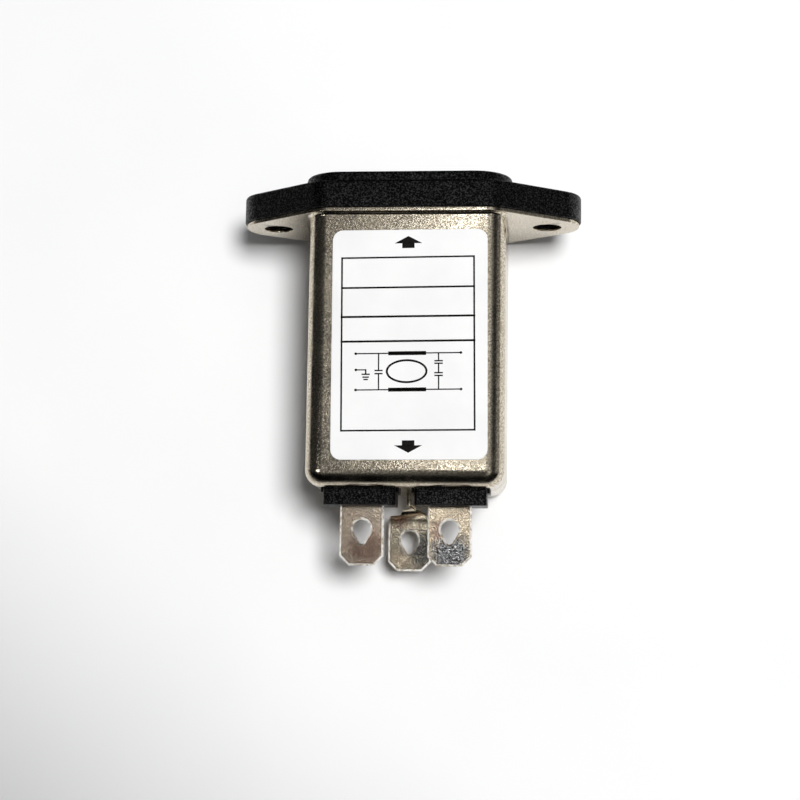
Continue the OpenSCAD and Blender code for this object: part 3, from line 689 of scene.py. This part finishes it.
ferrite, t, l, s = material("ferrite", (0.05, 0.052, 0.055), 0.0, 0.55)
mottle = range_node(t, l, noise_node(t, l, 3.0, 4), 0.4, 0.65)
l.new(mix_node(t, l, mottle, (0.035, 0.037, 0.04), (0.085, 0.088, 0.09)), s.inputs["Base Color"])
bump(t, l, s, noise_node(t, l, 5.0, 3), 0.3, 0.00003)
dress("choke_core", ferrite)

copper, t, l, s = material("enamelled_copper", (0.62, 0.24, 0.09), 0.85, 0.25)
l.new(mix_node(t, l, range_node(t, l, noise_node(t, l, 1.2, 3), 0.4, 0.65), (0.55, 0.19, 0.07), (0.70, 0.32, 0.13)),
      s.inputs["Base Color"])
s.inputs["Coat Weight"].default_value = 0.6
dress("line_winding", copper)
dress("neutral_winding", copper)

divider, t, l, s = material("divider_plastic", (0.8, 0.76, 0.62), 0.0, 0.5)
l.new(mix_node(t, l, range_node(t, l, noise_node(t, l, 1.0, 3), 0.4, 0.65), (0.76, 0.72, 0.58), (0.84, 0.8, 0.68)),
      s.inputs["Base Color"])
dress("winding_divider", divider)

# ---------------------------------------------------------------------------------------------
# Capacitors inside the case: a boxed film capacitor across the line and two dipped ceramic discs
# to earth, on tinned copper leads.

for name, node, one, two, gloss in (
        ("capacitor_box", "x_capacitor", (0.66, 0.47, 0.03), (0.78, 0.58, 0.07), 0.45),
        ("capacitor_dip", "line_y_capacitor", (0.02, 0.13, 0.36), (0.05, 0.2, 0.48), 0.35),
        ("capacitor_dip_2", "neutral_y_capacitor", (0.02, 0.13, 0.36), (0.05, 0.2, 0.48), 0.35)):
    made, t, l, s = material(name, one, 0.0, gloss)
    l.new(mix_node(t, l, range_node(t, l, noise_node(t, l, 0.8, 4), 0.4, 0.65), one, two), s.inputs["Base Color"])
    bump(t, l, s, noise_node(t, l, 2.0, 3), 0.25, 0.00004)
    dress(node, made)

tinned = plated("tinned_wire", (0.5, 0.5, 0.48), (0.78, 0.77, 0.74), (0.6, 0.58, 0.54), 0.28, 4.0, 0.5, 0.00001)
for node in ("x_capacitor_leads", "line_y_capacitor_leads", "neutral_y_capacitor_leads"):
    dress(node, tinned)

# ---------------------------------------------------------------------------------------------
# Earth wire and insulating sleeve: green PVC wire from the earth pin to the earth tab, and a
# folded sheet of fish paper that lines the case.

pvc, t, l, s = material("green_pvc", (0.1, 0.36, 0.06), 0.0, 0.4)
l.new(mix_node(t, l, range_node(t, l, noise_node(t, l, 0.7, 3), 0.4, 0.65), (0.08, 0.32, 0.05), (0.14, 0.42, 0.08)),
      s.inputs["Base Color"])
bump(t, l, s, noise_node(t, l, 3.0, 2), 0.2, 0.00002)
dress("earth_wire", pvc)

paper, t, l, s = material("fish_paper", (0.6, 0.52, 0.34), 0.0, 0.75)
l.new(mix_node(t, l, range_node(t, l, noise_node(t, l, 1.5, 5), 0.35, 0.65), (0.54, 0.46, 0.29), (0.68, 0.6, 0.42)),
      s.inputs["Base Color"])
bump(t, l, s, noise_node(t, l, 4.0, 4), 0.3, 0.00003)
dress("insulating_sleeve", paper)

# ---------------------------------------------------------------------------------------------
# Studio: the filter lies on its back on white paper, propped by the flange's edge, so the sheet
# leans a little in the filter's own frame. Soft light comes from above and from the right.

flange_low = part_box("inlet_housing")[0].z
rear_foot = -case_back - rear_r
lean = math.atan2(-flange_low / MM - case_h / 2, flange_rear + rear_foot)
bm = bmesh.new()
bmesh.ops.create_grid(bm, x_segments=2, y_segments=2, size=0.7)
floor_mesh = bpy.data.meshes.new("paper_floor")
bm.to_mesh(floor_mesh)
bm.free()
floor = bpy.data.objects.new("paper_floor", floor_mesh)
scene.collection.objects.link(floor)
floor.location = (0, flange_rear * MM, flange_low)
floor.rotation_euler = (-lean, 0, 0)
sheet_white, t, l, s = material("white_paper", (0.8, 0.8, 0.8), 0.0, 0.9)
s.inputs["Specular IOR Level"].default_value = 0.1
view = t.new("ShaderNodeLightPath")
seen = math_node(t, l, "MAXIMUM", view.outputs["Is Camera Ray"], view.outputs["Is Glossy Ray"])
fibre = range_node(t, l, noise_node(t, l, 0.02, 3), 0.35, 0.65)
tone = mix_node(t, l, fibre, (0.985, 0.985, 0.985), (0.955, 0.957, 0.96))
l.new(mix_node(t, l, seen, (0.35, 0.35, 0.35), tone), s.inputs["Base Color"])
floor_mesh.materials.append(sheet_white)
floor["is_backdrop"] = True

# The room by direction: a soft ceiling that fades out to a dark room on the left, a narrow bright
# tube overhead, a dark strip on the right and a bright wall beyond it.
world = bpy.data.worlds.new("studio")
scene.world = world
world.use_nodes = True
t, l = world.node_tree.nodes, world.node_tree.links
way = t.new("ShaderNodeTexCoord")
parts = t.new("ShaderNodeSeparateXYZ")
l.new(way.outputs["Generated"], parts.inputs[0])
x, y, z = parts.outputs


def by_angle(angle, stops):
    """Brightness by an angle in degrees, 0 overhead."""
    ramp = t.new("ShaderNodeValToRGB")
    ramp.color_ramp.interpolation = "LINEAR"
    while len(ramp.color_ramp.elements) > 1:
        ramp.color_ramp.elements.remove(ramp.color_ramp.elements[-1])
    for k, (degrees, bright) in enumerate(stops):
        place = (degrees + 180) / 360
        e = ramp.color_ramp.elements[0] if k == 0 else ramp.color_ramp.elements.new(place)
        e.position = place
        e.color = (bright, bright, bright, 1)
    l.new(range_node(t, l, angle, -math.pi, math.pi), ramp.inputs[0])
    return ramp.outputs["Color"]


def product(*values):
    """Product of brightnesses."""
    total = values[0]
    for value in values[1:]:
        total = math_node(t, l, "MULTIPLY", total, value)
    return total


sideways, lengthways = math_node(t, l, "ARCTAN2", x, z), math_node(t, l, "ARCTAN2", y, z)
ceiling = product(
    by_angle(sideways, [
        (-180, 0.05), (-92, 0.08), (-86, 0.04), (-50, 0.03), (-27, 0.05), (-14, 0.1), (-8, 0.18), (-4, 0.28),
        (5, 0.45), (12, 0.75), (21, 0.7), (31, 0.25), (38, 0.12), (45, 0.03), (58, 0.02), (64, 0.08), (70, 0.25),
        (76, 0.45), (92, 0.5), (98, 0.2), (180, 0.05)]),
    by_angle(lengthways, [
        (-180, 0.05), (-96, 0.05), (-86, 0.03), (-82, 0.01), (-50, 0.01), (-43, 0.03), (-36, 0.08), (-29, 0.2),
        (-24, 0.4), (-19, 0.7), (-14, 0.95), (-9, 0.9), (-5, 0.5), (25, 0.5), (45, 0.18), (90, 0.1), (180, 0.05)]),
    2.0)
back = t["Background"]
l.new(ceiling, back.inputs["Strength"])
back.inputs["Color"].default_value = (1, 1, 1, 1)


def area_lamp(name, place, size, power, shape="RECTANGLE"):
    """Flat lamp facing straight down, place in millimetres, size in metres."""
    lamp = bpy.data.lights.new(name, "AREA")
    lamp.shape = shape
    lamp.size, lamp.size_y = size
    lamp.energy = power
    thing = bpy.data.objects.new(name, lamp)
    scene.collection.objects.link(thing)
    thing.location = [v * MM for v in place]
    return thing


# Tube seen in the plating, and a small lamp that glints on the case's corner
for thing in (area_lamp("tube", (2.5, 14, 262), (0.014, 0.098), 0.034),
              area_lamp("glint", (-165, -84, 262), (0.085, 0.085), 0.16, "ELLIPSE")):
    thing.visible_diffuse = False


def black_card(name, corners, height):
    """Flat black card above the filter that the camera does not see."""
    bm = bmesh.new()
    bm.faces.new([bm.verts.new((x * MM, y * MM, height * MM)) for x, y in corners])
    mesh = bpy.data.meshes.new(name)
    bm.to_mesh(mesh)
    bm.free()
    made, t, l, s = material(name, (0.01, 0.01, 0.01), 0.0, 0.9)
    cloth = noise_node(t, l, 0.1, 2)
    l.new(mix_node(t, l, cloth, (0.008, 0.008, 0.008), (0.014, 0.014, 0.014)), s.inputs["Base Color"])
    mesh.materials.append(made)
    card = bpy.data.objects.new(name, mesh)
    scene.collection.objects.link(card)
    card.visible_camera = card.visible_diffuse = False
    card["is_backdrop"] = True
    return card


# Card beside the lens, seen only in reflections, and a flag that shades the near left corner
black_card("lens_card", [(-14, -33), (80, -33), (80, -160), (-14, -160)], 250).visible_shadow = False
across, away = Vector((0.82, -0.57)), Vector((-0.57, -0.82))
edge = Vector((22.6, -56.4))
flag = [edge + across * 400, edge - across * 400, edge - across * 400 + away * 500, edge + across * 400 + away * 500]
black_card("flag", [tuple(v) for v in flag], 260).visible_glossy = False

# Main lamp: soft and round, above right
lamp = bpy.data.lights.new("main_lamp", "POINT")
lamp.energy = 91
lamp.shadow_soft_size = 0.25
main = bpy.data.objects.new("main_lamp", lamp)
scene.collection.objects.link(main)
main.location = (0.43, 0.11, 1.5)
main.visible_glossy = False

camera = bpy.data.cameras.new("camera")
camera.lens = 74.5
camera.clip_start = 0.01
eye = bpy.data.objects.new("camera", camera)
scene.collection.objects.link(eye)
eye.location = (19.43 * MM, -57.82 * MM, 239.94 * MM)
eye.rotation_euler = tuple(math.radians(a) for a in (7.664, 4.859, 0.832))
scene.camera = eye

scene.view_settings.view_transform = "Standard"
low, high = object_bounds()
